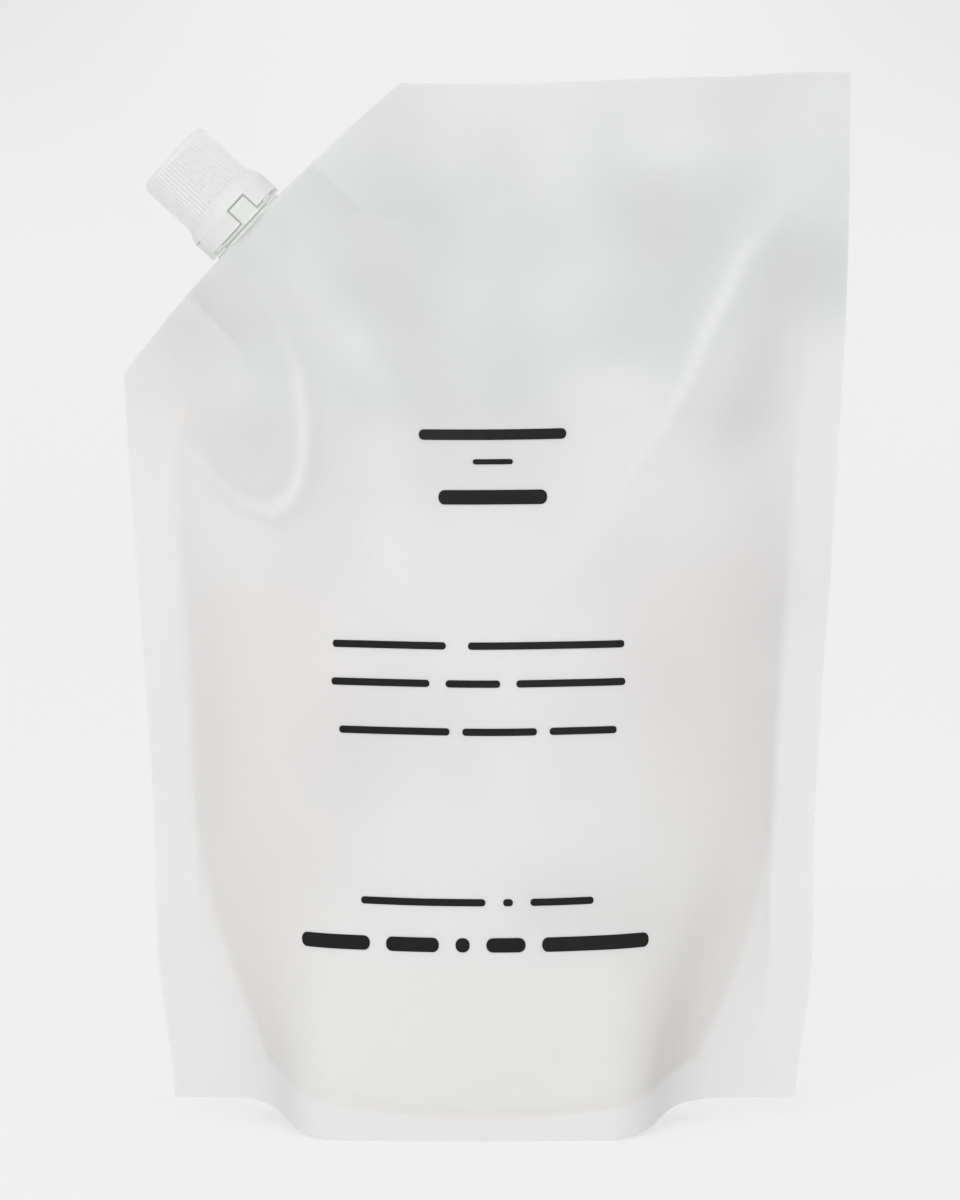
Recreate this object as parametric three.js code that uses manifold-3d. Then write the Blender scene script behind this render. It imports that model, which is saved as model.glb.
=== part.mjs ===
// A stand-up refill pack for liquid hand soap, in millimetres, +Z up.
// Three webs of frosted film are welded round their edges: a front panel, a back panel and a gusset that
// folds out into the foot. A moulded spout is welded into the cut corner, and a ribbed cap screws onto it
// over a tamper band. The origin is the middle of the foot, on the surface that the pack stands on, and the
// front panel faces -Y.
import * as THREE from "three";
import { mergeVertices } from "three/addons/utils/BufferGeometryUtils.js";
import Module from "manifold-3d";

// The film
const FILM = 0.2; // gauge of each web
const LAYER_GAP = 0.3; // clearance between two pieces that are welded or seated together
const PACK_WIDTH = 150; // flat width of the panels
const PACK_HEIGHT = 218; // flat height of the panels on the centre line
const CUT_WIDTH = 57.75; // how far the cut corner runs along the top edge
const CUT_HEIGHT = 61.5; // how far it runs down the left edge
const CUT_BOW = 2.5; // how far the cut edge is bowed out in its middle, where the spout sits
const SIDE_SEAL = 8.5; // width of the weld down each side
const TOP_SEAL = 10; // width of the weld along the top
const SLANT_SEAL = 13; // width of the weld along the cut corner

// The foot and the belly
const FOLD_HEIGHT = 45; // depth of the gusset, from the bottom edge to its fold
const SKIRT_SEAL = 6; // height of the curved bottom weld in the middle
const FOOT_DEPTH = 22; // from the centre plane to the front of the foot
const BELLY_DEPTH = 24.5; // from the centre plane to the front of the belly
const BELLY_HEIGHT = 46; // where the belly is deepest
const BELLY_ROUNDING = 1.7; // how slowly the depth falls off above the belly, a power
const BELLY_TAPER = 1.15; // how finely it runs out at the top weld, a power
const FOOT_CENTRE = -2.5; // the foot has opened a little to the left of the middle
const FOOT_STRAIGHT = 27; // half length of the straight front of the foot
const FOOT_TURN = 32; // film length over which the foot turns back to the fins
const FIN_SLOPE = 0.2; // share of the depth that the fins give
const CORNER_LIFT = 4.5; // how far the bottom corners ride above the floor
const MEMBRANE_DROP = 0.55; // how deep the gusset hangs, as a share of its half span
const NOTCH_RADIUS = 4; // half-round notch in each side of the gusset, for the corner tack weld
const NOTCH_HEIGHT = 9; // its height above the corner
const FILL_LEVEL = 150; // height of the soap's surface

// The spout
const SPOUT_PLACE = 43.9; // from the pack's upper corner at the cut to the spout's axis, along the cut
const BOAT_HALF_LENGTH = 17; // the boat-shaped weld base
const BOAT_HALF_THICKNESS = 6.3;
const BOAT_DEPTH = 11;
const BOAT_TIP = 0.3; // half thickness of the boat's two ends
const WELD_RIBS = 4; // ribs round the boat that melt into the film
const WELD_RIB_HEIGHT = 0.35;
const WELD_RIB_SHARE = 0.4; // a rib's width, as a share of the ribs' spacing
const BORE_RADIUS = 4.75;
const NECK_WALL = 1.45;
const NECK_TOP = 20.2; // mouth of the neck, above the film's edge
const MOUTH_CHAMFER = 0.5;
const FLANGE_RADIUS = 8.8;
const FLANGE_THICKNESS = 0.6;
const THREAD_LEAD = 4;
const THREAD_HEIGHT = 0.9;
const THREAD_WIDTH = 1.3;
const NECK_TURNS = 1.5; // turns of thread on the neck
const CAP_TURNS = 1.2; // turns of thread in the cap
const THREAD_ROOT = 0.3; // how far a thread reaches into its own wall
const THREAD_START = 12.4; // height of the neck thread's lower end
const BEAD_HEIGHT = 0.8; // the bead that holds the tamper band down

// The cap and the tamper band
const CAP_LENGTH = 19.9;
const CAP_WALL = 1.2;
const CAP_ROOF = 1.4;
const CAP_EDGE = 1.6; // rounding of the cap's top edge
const RIM_FLARE = 1.3; // how far the rim stands out past the ribbed part
const RIM_LENGTH = 3.9; // length of the straight rim
const SHOULDER_LENGTH = 3.2; // length of the shoulder between the rim and the ribs
const RIB_COUNT = 60;
const RIB_DEPTH = 0.3;
const PLUG_LENGTH = 3;
const PLUG_WALL = 0.9;
const PLUG_LEAD = 0.3; // the plug narrows by this much towards its tip
const BAND_THICKNESS = 0.6;
const BAND_RADIUS = 9;
const BAND_TABS = 4; // tabs of the band that stand in windows of the cap
const TAB_WIDTH = 4.2;
const TAB_HEIGHT = 3.4;
const TAB_SLIT = 0.45; // slit round each tab
const TAB_ANGLE = 15; // degrees from the pack's front to the first tab, towards the pack's top

const TURN = 2 * Math.PI;
const ROUND_SEGMENTS = 40;
const THREAD_SEGMENTS = 24; // steps in one turn of thread

const wasm = await Module();
wasm.setup();

// Solids and meshes

function solidFrom(geometry) {
  const loose = geometry.index ? geometry.toNonIndexed() : geometry.clone();
  loose.deleteAttribute("normal");
  loose.deleteAttribute("uv");
  const merged = mergeVertices(loose, 1e-4);
  const faces = [];
  for (let i = 0; i < merged.index.count; i += 3) {
    const [a, b, c] = [0, 1, 2].map((k) => merged.index.getX(i + k));
    if (a !== b && b !== c && c !== a) faces.push([a, b, c]);
  }
  const build = (order) =>
    new wasm.Manifold(
      new wasm.Mesh({
        numProp: 3,
        vertProperties: new Float32Array(merged.attributes.position.array),
        triVerts: new Uint32Array(faces.flatMap(order)),
      }),
    );
  const solid = build(([a, b, c]) => [a, b, c]);
  return solid.volume() > 0 ? solid : build(([a, b, c]) => [a, c, b]);
}

function geometryOf(solid) {
  const mesh = solid.getMesh();
  const position = new Float32Array(mesh.numVert * 3);
  for (let i = 0; i < mesh.numVert; i++) {
    const first = i * mesh.numProp;
    position.set(mesh.vertProperties.subarray(first, first + 3), i * 3);
  }
  const geometry = new THREE.BufferGeometry();
  geometry.setAttribute("position", new THREE.BufferAttribute(position, 3));
  geometry.setIndex(new THREE.BufferAttribute(mesh.triVerts, 1));
  geometry.computeVertexNormals();
  return geometry;
}

function namedMesh(name, solid, material) {
  const mesh = new THREE.Mesh(geometryOf(solid), material);
  mesh.name = name;
  return mesh;
}

const joined = (solids) => solids.reduce((all, next) => all.add(next));

// A closed solid between two grids of points. Each column holds two chains of points of equal length.
function ladderSolid(columns) {
  const lastColumn = columns.length - 1;
  const lastRung = columns[0].near.length - 1;
  const near = (i, j) => columns[i].near[j];
  const far = (i, j) => columns[i].far[j];
  const vertices = [];
  const quad = (a, b, c, d) => vertices.push(a, b, c, a, c, d);
  for (let i = 0; i < lastColumn; i++) {
    for (let j = 0; j < lastRung; j++) {
      quad(near(i, j), near(i + 1, j), near(i + 1, j + 1), near(i, j + 1));
      quad(far(i, j), far(i, j + 1), far(i + 1, j + 1), far(i + 1, j));
    }
    quad(near(i, 0), far(i, 0), far(i + 1, 0), near(i + 1, 0));
    quad(near(i + 1, lastRung), far(i + 1, lastRung), far(i, lastRung), near(i, lastRung));
  }
  for (let j = 0; j < lastRung; j++) {
    quad(near(0, j + 1), far(0, j + 1), far(0, j), near(0, j));
    quad(near(lastColumn, j), far(lastColumn, j), far(lastColumn, j + 1), near(lastColumn, j + 1));
  }
  return solidFrom(new THREE.BufferGeometry().setFromPoints(vertices));
}

// A solid of revolution about +Z from a closed profile of [radius, height] pairs.
function turned(profile, segments = ROUND_SEGMENTS) {
  const points = profile.map(([radius, height]) => new THREE.Vector2(radius, height));
  const lathe = new THREE.LatheGeometry([...points, points[0]], segments);
  return solidFrom(lathe.rotateX(Math.PI / 2));
}

function block(width, depth, height, x, y, z) {
  return solidFrom(new THREE.BoxGeometry(width, depth, height).translate(x, y, z));
}

// The form of the filled pack. X and Z measure the flat film, and the functions give where it lies once
// the soap has pushed it out. The film doesn't stretch, so the outline draws in where the pack bulges.

const HALF_WIDTH = PACK_WIDTH / 2;
const CAVITY = HALF_WIDTH - SIDE_SEAL;
const CUT_START = CUT_WIDTH - HALF_WIDTH; // X where the cut meets the top edge
const CUT_LENGTH = Math.hypot(CUT_WIDTH, CUT_HEIGHT);
const CUT_ANGLE = Math.atan2(CUT_HEIGHT, CUT_WIDTH);
const LAYER_STACK = LAYER_GAP * 1.5 + FILM; // from the centre plane to a panel, with the gusset between
const LAYER_END = FOLD_HEIGHT + 4; // height at which the two panels have come together above the gusset
const LOW_PART = FOLD_HEIGHT + 10; // height at which the foot's section has given way to the belly's
const BULGE_REACH = CAVITY; // distance from a weld at which the film is fully out

const { clamp } = THREE.MathUtils;
const blend = (low, high, value) => THREE.MathUtils.smoothstep(value, low, high);
const arch = (share) => 4 * share * (1 - share);

// X of the spout on the cut edge.
const SEAT_BOW = CUT_BOW * arch(SPOUT_PLACE / CUT_LENGTH);
const SEAT = CUT_START - SPOUT_PLACE * Math.cos(CUT_ANGLE) - SEAT_BOW * Math.sin(CUT_ANGLE);

// 1 along the front of the foot, 0 on the fins.
function footShare(X) {
  return 1 - blend(FOOT_STRAIGHT, FOOT_STRAIGHT + FOOT_TURN, Math.abs(X - FOOT_CENTRE));
}

const bottomEdge = (X) => CORNER_LIFT * (1 - footShare(X));

function topEdge(X) {
  const share = clamp((CUT_START - X) / CUT_WIDTH, 0, 1);
  return PACK_HEIGHT - CUT_HEIGHT * share + (CUT_BOW * arch(share)) / Math.cos(CUT_ANGLE);
}

// Half the pack's thickness on its centre line.
function centreDepth(Z) {
  if (Z < BELLY_HEIGHT) {
    return BELLY_DEPTH - (BELLY_DEPTH - FOOT_DEPTH) * (1 - Z / BELLY_HEIGHT) ** 2;
  }
  const rise = clamp((Z - BELLY_HEIGHT) / (PACK_HEIGHT - TOP_SEAL - BELLY_HEIGHT), 0, 1);
  return BELLY_DEPTH * (1 - rise ** BELLY_ROUNDING) ** BELLY_TAPER;
}

// Distances in the frame of the cut corner: along it from the spout's axis, and outwards past the edge.
function fromSpout(X, Z) {
  const alongX = X - SEAT;
  const alongZ = Z - topEdge(SEAT);
  return {
    along: alongX * Math.cos(CUT_ANGLE) + alongZ * Math.sin(CUT_ANGLE),
    outward: -alongX * Math.sin(CUT_ANGLE) + alongZ * Math.cos(CUT_ANGLE),
  };
}

// The film's length over one half of the weld base, which is a little more than the base's own length.
const BOAT_ARC_EXTRA = (2 * BOAT_HALF_THICKNESS ** 2) / (3 * BOAT_HALF_LENGTH);
const BOAT_FILM = BOAT_HALF_LENGTH + 2 * LAYER_GAP + BOAT_ARC_EXTRA;
const WELD_ZONE = 1.4 * BOAT_DEPTH; // how far the film keeps the base's form below the cut edge
const boatDepth = (along) => BOAT_HALF_THICKNESS * (1 - (along / BOAT_FILM) ** 2);

// The film over the spout's weld base, which fades out below it.
function spoutBulge(X, Z) {
  const { along, outward } = fromSpout(X, Z);
  const ends = 1 - blend(BOAT_FILM, 1.2 * BOAT_FILM, Math.abs(along));
  const below = 1 - blend(WELD_ZONE, 2 * WELD_ZONE, -outward);
  const lift = Math.max(boatDepth(along), 0) + (LAYER_GAP + WELD_RIB_HEIGHT) * ends;
  return lift * below;
}

const rounded = (share) => 1 - (1 - clamp(share, 0, 1)) ** 2;

// From the centre plane to the inside of a panel.
function bulge(X, Z) {
  const across = rounded((CAVITY - Math.abs(X)) / CAVITY);
  const low = 1 - blend(0, LOW_PART, Z);
  const section = across * (1 - low) + (footShare(X) * (1 - FIN_SLOPE) + across * FIN_SLOPE) * low;
  const inset = -fromSpout(X, Z).outward - SLANT_SEAL;
  const belly = centreDepth(Z) * section * rounded(inset / BULGE_REACH);
  const layers = LAYER_STACK * (1 - blend(FOLD_HEIGHT, LAYER_END, Z));
  return Math.max(belly, layers, spoutBulge(X, Z));
}

// Lengths along the film turned into lengths in the centre plane.
const STEP = 1.5;
const STEEPEST = 0.05; // the least that a climbing film gives in the plane, squared

function shortened(from, to, depthAt) {
  const steps = Math.ceil(Math.abs(to - from) / STEP);
  const step = (to - from) / Math.max(steps, 1);
  let sum = 0;
  for (let i = 0; i < steps; i++) {
    const rise = (depthAt(from + (i + 1) * step) - depthAt(from + i * step)) / step;
    sum += step * Math.sqrt(Math.max(1 - rise * rise, STEEPEST));
  }
  return sum;
}

function filmPoint(X, Z, y) {
  const x = shortened(0, X, (at) => bulge(at, Z));
  const z = bottomEdge(X) + shortened(bottomEdge(X), Z, (at) => bulge(X, at));
  return new THREE.Vector3(x, y, z);
}

// Places between marks, with a count of steps for each span.
function stations(marks, counts) {
  const places = [marks[0]];
  counts.forEach((count, i) => {
    for (let k = 1; k <= count; k++) {
      places.push(THREE.MathUtils.lerp(marks[i], marks[i + 1], k / count));
    }
  });
  return places;
}

// Where the columns and rows of the film's grid stand.
const SEAT_REACH = BOAT_FILM * Math.cos(CUT_ANGLE);
const FOOT_END = FOOT_STRAIGHT + FOOT_TURN;
const LEFT_MARKS = [-HALF_WIDTH, -CAVITY, FOOT_CENTRE - FOOT_END, FOOT_CENTRE - FOOT_STRAIGHT, CUT_START];
const RIGHT_MARKS = [
  CUT_START, 0, FOOT_CENTRE + FOOT_STRAIGHT, FOOT_CENTRE + FOOT_END, CAVITY, HALF_WIDTH,
];
const COLUMN_MARKS = [
  ...LEFT_MARKS,
  ...stations([SEAT - SEAT_REACH, SEAT + SEAT_REACH], [7]),
  ...stations(RIGHT_MARKS, [2, 3, 6, 1, 1]),
];
const NARROWEST = 1.4; // marks closer than this share one column
const COLUMNS = COLUMN_MARKS.sort((a, b) => a - b).filter(
  (X, i, all) => i === 0 || X - all[i - 1] > NARROWEST,
);
const ROWS = [7, 10, 4]; // in the foot, in the belly, and in the band under the top edge
const TOP_BAND = WELD_ZONE / Math.cos(CUT_ANGLE);

function rowsAt(X) {
  return stations([bottomEdge(X), LAYER_END, topEdge(X) - TOP_BAND, topEdge(X)], ROWS);
}

// side is -1 for the front panel and +1 for the back panel.
function panel(side) {
  return ladderSolid(
    COLUMNS.map((X) => ({
      near: rowsAt(X).map((Z) => filmPoint(X, Z, side * bulge(X, Z))),
      far: rowsAt(X).map((Z) => filmPoint(X, Z, side * (bulge(X, Z) + FILM))),
    })),
  );
}

// The gusset runs up inside the front panel to the curved weld, across the foot and down inside the back.

const SKIRT_ROWS = 3;
const MEMBRANE_ROWS = 8;

// Height on the film of the curved bottom weld's upper edge.
function weldEdge(X) {
  const share = Math.min(Math.abs(X) / CAVITY, 1);
  return FOLD_HEIGHT - (FOLD_HEIGHT - SKIRT_SEAL) * Math.sqrt(1 - share * share);
}

const mirrored = (path) => path.map((p) => new THREE.Vector3(p.x, -p.y, p.z)).reverse();
const weldTop = (X) => Math.max(weldEdge(X), bottomEdge(X) + 1);

// The front skirt of the gusset, from the bottom edge up to the curved weld.
function skirtPath(X) {
  const inset = LAYER_GAP + FILM / 2;
  const heights = stations([bottomEdge(X), weldTop(X)], [SKIRT_ROWS]);
  return heights.map((Z) => filmPoint(X, Z, inset - bulge(X, Z)));
}

// The part that hangs between the two skirts, without its ends.
function membranePath(top) {
  const lowest = top.z + MEMBRANE_DROP * top.y;
  return Array.from({ length: MEMBRANE_ROWS - 1 }, (_, i) => {
    const share = (2 * (i + 1)) / MEMBRANE_ROWS - 1;
    const height = lowest + (top.z - lowest) * share * share;
    return new THREE.Vector3(top.x, -share * top.y, Math.max(height, FILM / 2));
  });
}

function gussetPath(X) {
  const skirt = skirtPath(X);
  return [...skirt, ...membranePath(skirt[skirt.length - 1]), ...mirrored(skirt)];
}

// A path in the YZ plane moved sideways by a distance, to the left of its direction.
function offsetPath(path, distance) {
  return path.map((p, i) => {
    const before = path[Math.max(i - 1, 0)];
    const after = path[Math.min(i + 1, path.length - 1)];
    const into = new THREE.Vector2(p.y - before.y, p.z - before.z).normalize();
    const out = new THREE.Vector2(after.y - p.y, after.z - p.z).normalize();
    const left = new THREE.Vector2(-(into.y + out.y), into.x + out.x).normalize();
    return new THREE.Vector3(p.x, p.y + left.x * distance, Math.max(p.z + left.y * distance, 0));
  });
}

function notchCutter(side) {
  const corner = filmPoint(side * HALF_WIDTH, bottomEdge(HALF_WIDTH) + NOTCH_HEIGHT, 0);
  const length = 6 * LAYER_STACK;
  const cutter = new THREE.CylinderGeometry(NOTCH_RADIUS, NOTCH_RADIUS, length, 24);
  return solidFrom(cutter.translate(corner.x, 0, corner.z));
}

function gusset() {
  const web = ladderSolid(
    COLUMNS.map((X) => {
      const path = gussetPath(X);
      return { near: offsetPath(path, FILM / 2), far: offsetPath(path, -FILM / 2) };
    }),
  );
  return web.subtract(notchCutter(-1)).subtract(notchCutter(1));
}

// What lies below the gusset at one station, and outside its skirts, with the soap's clearance.
function underGusset(X) {
  const skirt = skirtPath(X);
  const top = skirt[skirt.length - 1];
  const lift = FILM / 2 + LAYER_GAP;
  const edge = new THREE.Vector3(top.x, top.y + lift, top.z + lift);
  const outer = new THREE.Vector3(top.x, -PACK_WIDTH, top.z + lift);
  const middle = offsetPath([top, ...membranePath(top), ...mirrored([top])], lift).slice(1, -1);
  const roof = [outer, edge, ...middle, ...mirrored([outer, edge])];
  return { near: roof, far: roof.map((p) => new THREE.Vector3(p.x, p.y, -FOLD_HEIGHT)) };
}

// The soap fills the space between the panels, above the gusset and up to its own level.
const SOAP_MARGIN = 1.5; // from the side welds to where the soap is thick enough to be a solid

function soap() {
  const reach = CAVITY - SOAP_MARGIN;
  const columns = [-reach, ...COLUMNS.filter((X) => Math.abs(X) < reach), reach];
  const body = ladderSolid(
    columns.map((X) => {
      const rows = rowsAt(X).slice(1, -3);
      const inside = (Z) => bulge(X, Z) - LAYER_GAP;
      return {
        near: rows.map((Z) => filmPoint(X, Z, -inside(Z))),
        far: rows.map((Z) => filmPoint(X, Z, inside(Z))),
      };
    }),
  );
  const under = ladderSolid(COLUMNS.map((X) => underGusset(X)));
  const above = block(2 * PACK_WIDTH, PACK_WIDTH, PACK_HEIGHT, 0, 0, FILL_LEVEL + PACK_HEIGHT / 2);
  return body.subtract(under).subtract(above);
}

// The spout, band and cap stand on the spout's axis: heights are measured outwards from the film's edge.

const NECK_RADIUS = BORE_RADIUS + NECK_WALL;
const CREST_RADIUS = NECK_RADIUS + THREAD_HEIGHT;
const CAP_BORE = CREST_RADIUS + LAYER_GAP;
const CAP_RADIUS = CAP_BORE + CAP_WALL;
const RIM_RADIUS = CAP_RADIUS + RIM_FLARE;
const FLANGE_TOP = LAYER_GAP + FLANGE_THICKNESS;
const BAND_TOP = FLANGE_TOP + LAYER_GAP + BAND_THICKNESS;
const RIM = BAND_TOP + LAYER_GAP;
const CAP_TOP = RIM + CAP_LENGTH;
const RIM_TOP = RIM + RIM_LENGTH;
const SHOULDER_TOP = RIM_TOP + SHOULDER_LENGTH;

// A thread ridge: a straight bar of the ridge's section, wound round the axis. It stands on a wall of the
// given radius, outwards for the neck and inwards for the cap, and both of its ends run down to the wall.
const THREAD_RUNOUT = 0.12; // share of the ridge over which each end rises
const THREAD_STUB = 0.1; // share of the full height that the very ends keep

function threadRidge(wall, outwards, start, turns) {
  const section = new THREE.Shape();
  section.moveTo(-THREAD_ROOT, -THREAD_WIDTH / 2);
  section.lineTo(THREAD_HEIGHT, -THREAD_WIDTH / 4);
  section.lineTo(THREAD_HEIGHT, THREAD_WIDTH / 4);
  section.lineTo(-THREAD_ROOT, THREAD_WIDTH / 2);
  const steps = Math.round(turns * THREAD_SEGMENTS);
  const bar = new THREE.ExtrudeGeometry(section, { depth: turns, steps, bevelEnabled: false });
  const place = bar.getAttribute("position");
  for (let i = 0; i < place.count; i++) {
    const along = place.getZ(i);
    const fromEnd = Math.min(along, turns - along) / turns;
    const full = Math.min(1, fromEnd / THREAD_RUNOUT + THREAD_STUB);
    const height = place.getX(i) > 0 ? place.getX(i) * full : place.getX(i);
    const radius = wall + (outwards ? height : -height);
    const [x, y] = [radius * Math.cos(along * TURN), radius * Math.sin(along * TURN)];
    place.setXYZ(i, x, y, start + along * THREAD_LEAD + place.getY(i));
  }
  return solidFrom(bar);
}

// A slice of the weld base: two shallow arcs that meet in thin ends.
function boatSlice(grow, bottom, height) {
  const half = BOAT_HALF_LENGTH;
  const swell = 2 * (BOAT_HALF_THICKNESS + grow);
  const outline = new THREE.Shape();
  outline.moveTo(-half, -BOAT_TIP);
  outline.quadraticCurveTo(0, -swell, half, -BOAT_TIP);
  outline.lineTo(half, BOAT_TIP);
  outline.quadraticCurveTo(0, swell, -half, BOAT_TIP);
  const options = { depth: height, bevelEnabled: false, curveSegments: 10 };
  return solidFrom(new THREE.ExtrudeGeometry(outline, options).translate(0, 0, bottom));
}

function weldBase() {
  const pitch = BOAT_DEPTH / WELD_RIBS;
  const ribs = Array.from({ length: WELD_RIBS }, (_, i) => {
    const bottom = -BOAT_DEPTH + (i + (1 - WELD_RIB_SHARE) / 2) * pitch;
    return boatSlice(0, bottom, pitch * WELD_RIB_SHARE);
  });
  return joined([boatSlice(-WELD_RIB_HEIGHT, -BOAT_DEPTH, BOAT_DEPTH), ...ribs]);
}

function spout() {
  const stem = (BORE_RADIUS + NECK_RADIUS) / 2; // narrower than the neck, inside the weld base
  const outside = turned([
    [0, -BOAT_DEPTH / 2],
    [stem, -BOAT_DEPTH / 2],
    [stem, LAYER_GAP],
    [FLANGE_RADIUS, LAYER_GAP],
    [FLANGE_RADIUS, FLANGE_TOP],
    [NECK_RADIUS, FLANGE_TOP],
    [NECK_RADIUS, RIM],
    [NECK_RADIUS + BEAD_HEIGHT, RIM],
    [NECK_RADIUS, RIM + 2 * BEAD_HEIGHT],
    [NECK_RADIUS, NECK_TOP - MOUTH_CHAMFER],
    [NECK_RADIUS - MOUTH_CHAMFER, NECK_TOP],
    [0, NECK_TOP],
  ]);
  const [below, above] = [-2 * BOAT_DEPTH, 2 * NECK_TOP];
  const bore = turned([[0, below], [BORE_RADIUS, below], [BORE_RADIUS, above], [0, above]]);
  const thread = threadRidge(NECK_RADIUS, true, THREAD_START, NECK_TURNS);
  return joined([weldBase(), outside, thread]).subtract(bore);
}

// Wedges round the rim, for the band's tabs and the windows that they stand in.
function tabBlocks(width, bottom, top) {
  const middle = (bottom + top) / 2;
  return joined(
    Array.from({ length: BAND_TABS }, (_, i) => {
      const angle = THREE.MathUtils.degToRad(TAB_ANGLE - 90 + (i * 360) / BAND_TABS);
      const bar = new THREE.BoxGeometry(CAP_RADIUS, width, top - bottom);
      return solidFrom(bar.translate(RIM_RADIUS, 0, middle).rotateZ(angle));
    }),
  );
}

// The outside of the cap's smooth lower part, which turns in from the rim to the ribs.
function rimProfile() {
  return stations([RIM_TOP, SHOULDER_TOP], [4]).map((height) => {
    const share = blend(RIM_TOP, SHOULDER_TOP, height);
    return [CAP_RADIUS + RIM_FLARE * (1 - share), height];
  });
}

function ribbedBarrel() {
  const outline = new THREE.Shape();
  for (let i = 0; i < 2 * RIB_COUNT; i++) {
    const radius = CAP_RADIUS - (i % 2) * RIB_DEPTH;
    const angle = (i * TURN) / (2 * RIB_COUNT);
    outline[i ? "lineTo" : "moveTo"](radius * Math.cos(angle), radius * Math.sin(angle));
  }
  const bottom = SHOULDER_TOP - 1;
  const barrel = new THREE.ExtrudeGeometry(outline, { depth: CAP_TOP - bottom, bevelEnabled: false });
  const arc = stations([0, Math.PI / 2], [3]).map((angle) => [
    CAP_RADIUS + CAP_EDGE * (Math.cos(angle) - 1),
    CAP_TOP + CAP_EDGE * (Math.sin(angle) - 1),
  ]);
  const wide = 2 * CAP_RADIUS;
  const envelope = turned([[0, bottom], [wide, bottom], [wide, arc[0][1]], ...arc, [0, CAP_TOP]]);
  return solidFrom(barrel.translate(0, 0, bottom)).intersect(envelope);
}

function cap() {
  const lower = turned([[0, RIM], [RIM_RADIUS, RIM], ...rimProfile(), [0, SHOULDER_TOP]]);
  const shell = ribbedBarrel().add(lower);
  const ceiling = CAP_TOP - CAP_ROOF;
  const hollow = turned([
    [0, RIM - 1],
    [RIM_RADIUS - CAP_WALL, RIM - 1],
    [RIM_RADIUS - CAP_WALL, RIM_TOP],
    [CAP_BORE, SHOULDER_TOP],
    [CAP_BORE, ceiling],
    [0, ceiling],
  ]);
  const plugRadius = BORE_RADIUS - LAYER_GAP;
  const plug = turned([
    [plugRadius - PLUG_WALL, NECK_TOP - PLUG_LENGTH],
    [plugRadius - PLUG_LEAD, NECK_TOP - PLUG_LENGTH],
    [plugRadius, NECK_TOP - PLUG_LENGTH + 1],
    [plugRadius, ceiling + CAP_ROOF / 2],
    [plugRadius - PLUG_WALL, ceiling + CAP_ROOF / 2],
  ]);
  const thread = threadRidge(CAP_BORE, false, THREAD_START - THREAD_LEAD / 2, CAP_TURNS);
  const windows = tabBlocks(TAB_WIDTH + 2 * TAB_SLIT, RIM - 1, RIM + TAB_HEIGHT + TAB_SLIT);
  return shell.subtract(hollow).subtract(windows).add(plug).add(thread);
}

function tamperBand() {
  const bottom = FLANGE_TOP + LAYER_GAP;
  const ring = turned([
    [NECK_RADIUS + LAYER_GAP, bottom],
    [BAND_RADIUS, bottom],
    [BAND_RADIUS, BAND_TOP],
    [NECK_RADIUS + LAYER_GAP, BAND_TOP],
  ]);
  const wall = turned([
    [RIM_RADIUS - CAP_WALL, bottom],
    [RIM_RADIUS, bottom],
    [RIM_RADIUS, RIM + TAB_HEIGHT],
    [RIM_RADIUS - CAP_WALL, RIM + TAB_HEIGHT],
  ]);
  return ring.add(wall.intersect(tabBlocks(TAB_WIDTH, bottom - 1, RIM + TAB_HEIGHT + 1)));
}

// Materials, and the pieces put together

function material(color, roughness, opacity = 1) {
  const transparent = opacity < 1;
  return new THREE.MeshStandardMaterial({ color, roughness, metalness: 0, transparent, opacity });
}

const film = material(0xe2e4e4, 0.42, 0.8);
const liquid = material(0xe6e0d6, 0.15);
const spoutPlastic = material(0xdfe1de, 0.4);
const capPlastic = material(0xe7e7e7, 0.48);

const pack = new THREE.Group();
pack.add(namedMesh("front_panel", panel(-1), film));
pack.add(namedMesh("back_panel", panel(1), film));
pack.add(namedMesh("bottom_gusset", gusset(), film));
pack.add(namedMesh("soap_fill", soap(), liquid));

// The spout stands square on the cut edge, where the edge lies once the pack is filled.
const spoutGroup = new THREE.Group();
const edgePoint = (along) => {
  const X = SEAT + along * Math.cos(CUT_ANGLE);
  return filmPoint(X, topEdge(X), 0);
};
const edge = edgePoint(FLANGE_RADIUS).sub(edgePoint(-FLANGE_RADIUS));
spoutGroup.position.copy(edgePoint(0));
spoutGroup.rotation.y = -Math.atan2(edge.z, edge.x);
spoutGroup.add(namedMesh("spout", spout(), spoutPlastic));
spoutGroup.add(namedMesh("tamper_band", tamperBand(), capPlastic));
spoutGroup.add(namedMesh("cap", cap(), capPlastic));
pack.add(spoutGroup);

export default pack;
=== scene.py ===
# %% [markdown]
# # A stand-up refill pack of hand soap
#
# The pack is three webs of frosted film, welded round their edges and filled with pearly soap, with a
# moulded spout and a ribbed cap in its cut corner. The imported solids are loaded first, and they fix
# every place and size. This script then gives the pack its looks: fine film with its creases, a soft
# body of soap, print and plastic.

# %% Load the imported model
import math
import random

import bmesh
import bpy
import numpy as np
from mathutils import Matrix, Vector


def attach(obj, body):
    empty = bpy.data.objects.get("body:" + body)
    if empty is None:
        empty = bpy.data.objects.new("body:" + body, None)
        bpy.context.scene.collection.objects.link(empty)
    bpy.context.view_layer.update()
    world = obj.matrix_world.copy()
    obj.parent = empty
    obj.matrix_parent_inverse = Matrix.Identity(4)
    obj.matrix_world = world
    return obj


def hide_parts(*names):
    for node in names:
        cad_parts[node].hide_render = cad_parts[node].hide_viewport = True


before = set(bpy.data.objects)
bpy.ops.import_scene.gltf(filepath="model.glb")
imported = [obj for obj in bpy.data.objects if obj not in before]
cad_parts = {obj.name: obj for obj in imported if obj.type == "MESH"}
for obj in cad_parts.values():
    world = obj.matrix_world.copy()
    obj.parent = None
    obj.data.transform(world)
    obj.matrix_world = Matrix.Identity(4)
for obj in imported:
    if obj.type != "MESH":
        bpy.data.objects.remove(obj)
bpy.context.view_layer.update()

MM = 0.001

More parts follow.
